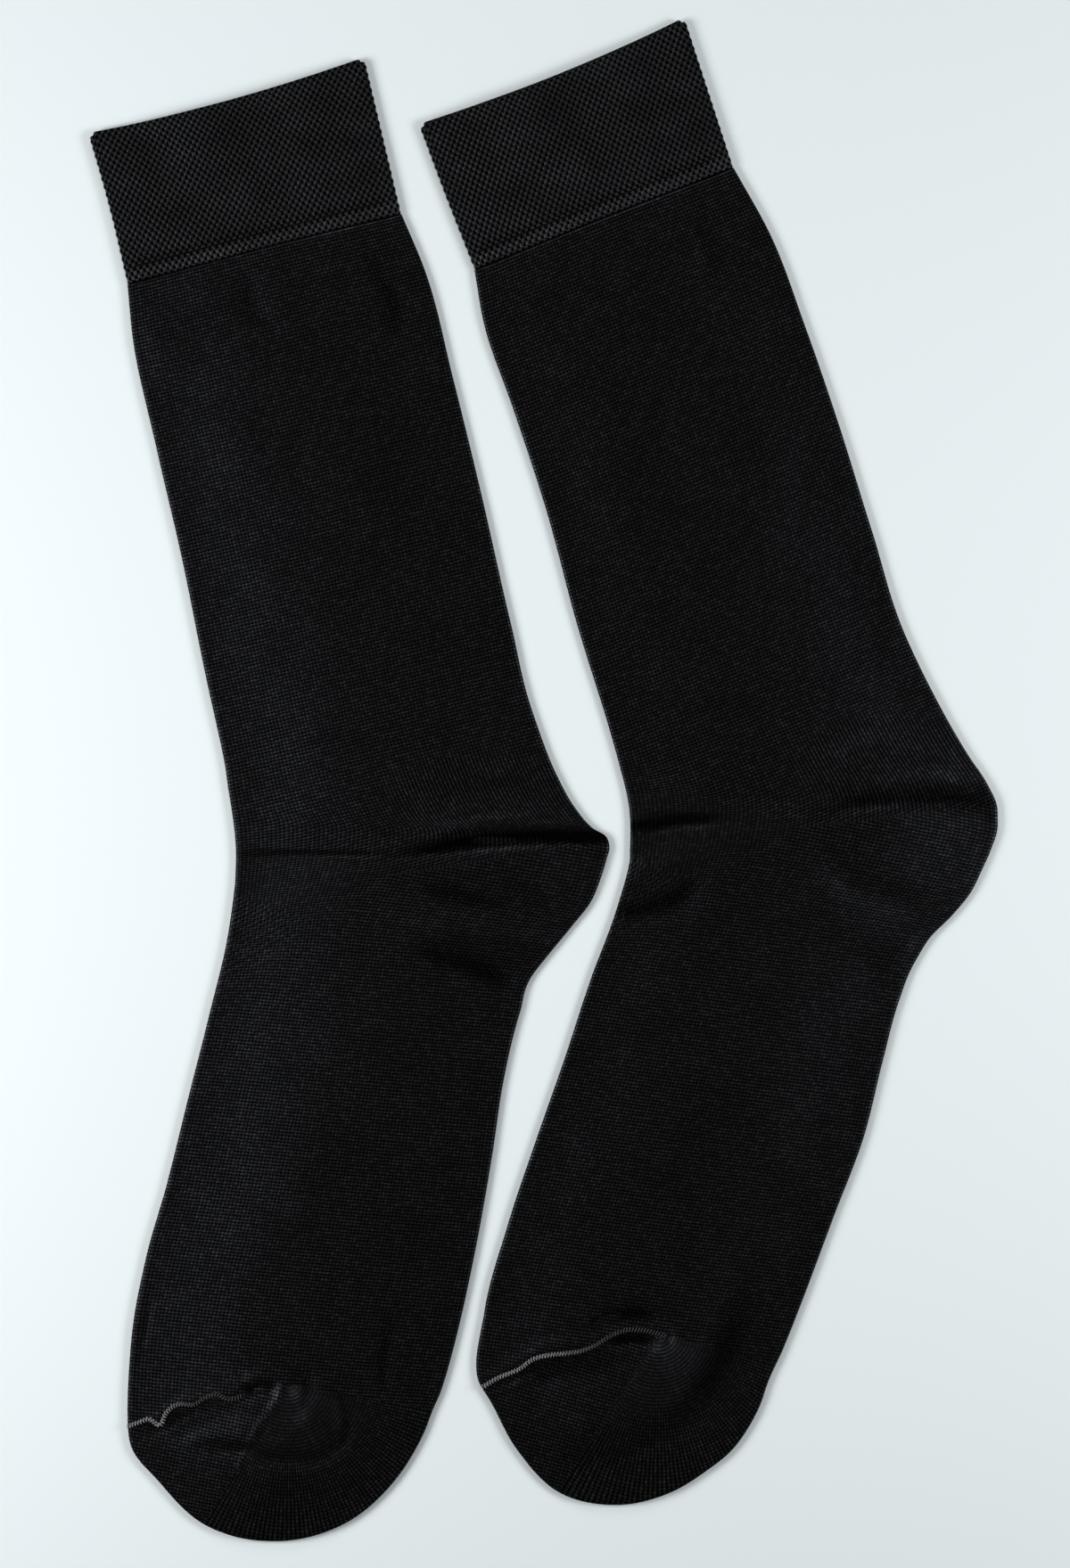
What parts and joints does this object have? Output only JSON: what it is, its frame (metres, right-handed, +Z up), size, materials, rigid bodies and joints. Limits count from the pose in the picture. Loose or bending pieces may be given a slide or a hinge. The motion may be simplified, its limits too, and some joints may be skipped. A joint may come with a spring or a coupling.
{
  "type": "pair of dress socks",
  "caption": "Pair of fine plain black mid-calf dress socks with double welt cuffs, pocket heels and linked toe seams, lying flat on their sides.",
  "frame": {"origin": "centre of the pair's footprint, on the surface that the socks lie on", "axes": "+Y from the toes to the cuffs, +X from the left sock to the right one, the way both heels point, +Z up, out of the surface"},
  "size_m": [0.2898, 0.4848, 0.0055],
  "materials": {
    "welt_knit": "matt black elastic tuck knit, honeycomb surface",
    "jersey_knit": "matt black fine plain jersey",
    "linking_thread": "dark grey sewing thread loops"
  },
  "bodies": {
    "root": {"left_cuff": "welt_knit", "left_leg": "jersey_knit", "left_heel": "jersey_knit", "left_foot": "jersey_knit", "left_toe": "jersey_knit", "left_toe_seam": "linking_thread", "right_cuff": "welt_knit", "right_leg": "jersey_knit", "right_heel": "jersey_knit", "right_foot": "jersey_knit", "right_toe": "jersey_knit", "right_toe_seam": "linking_thread"}
  },
  "joints": []
}
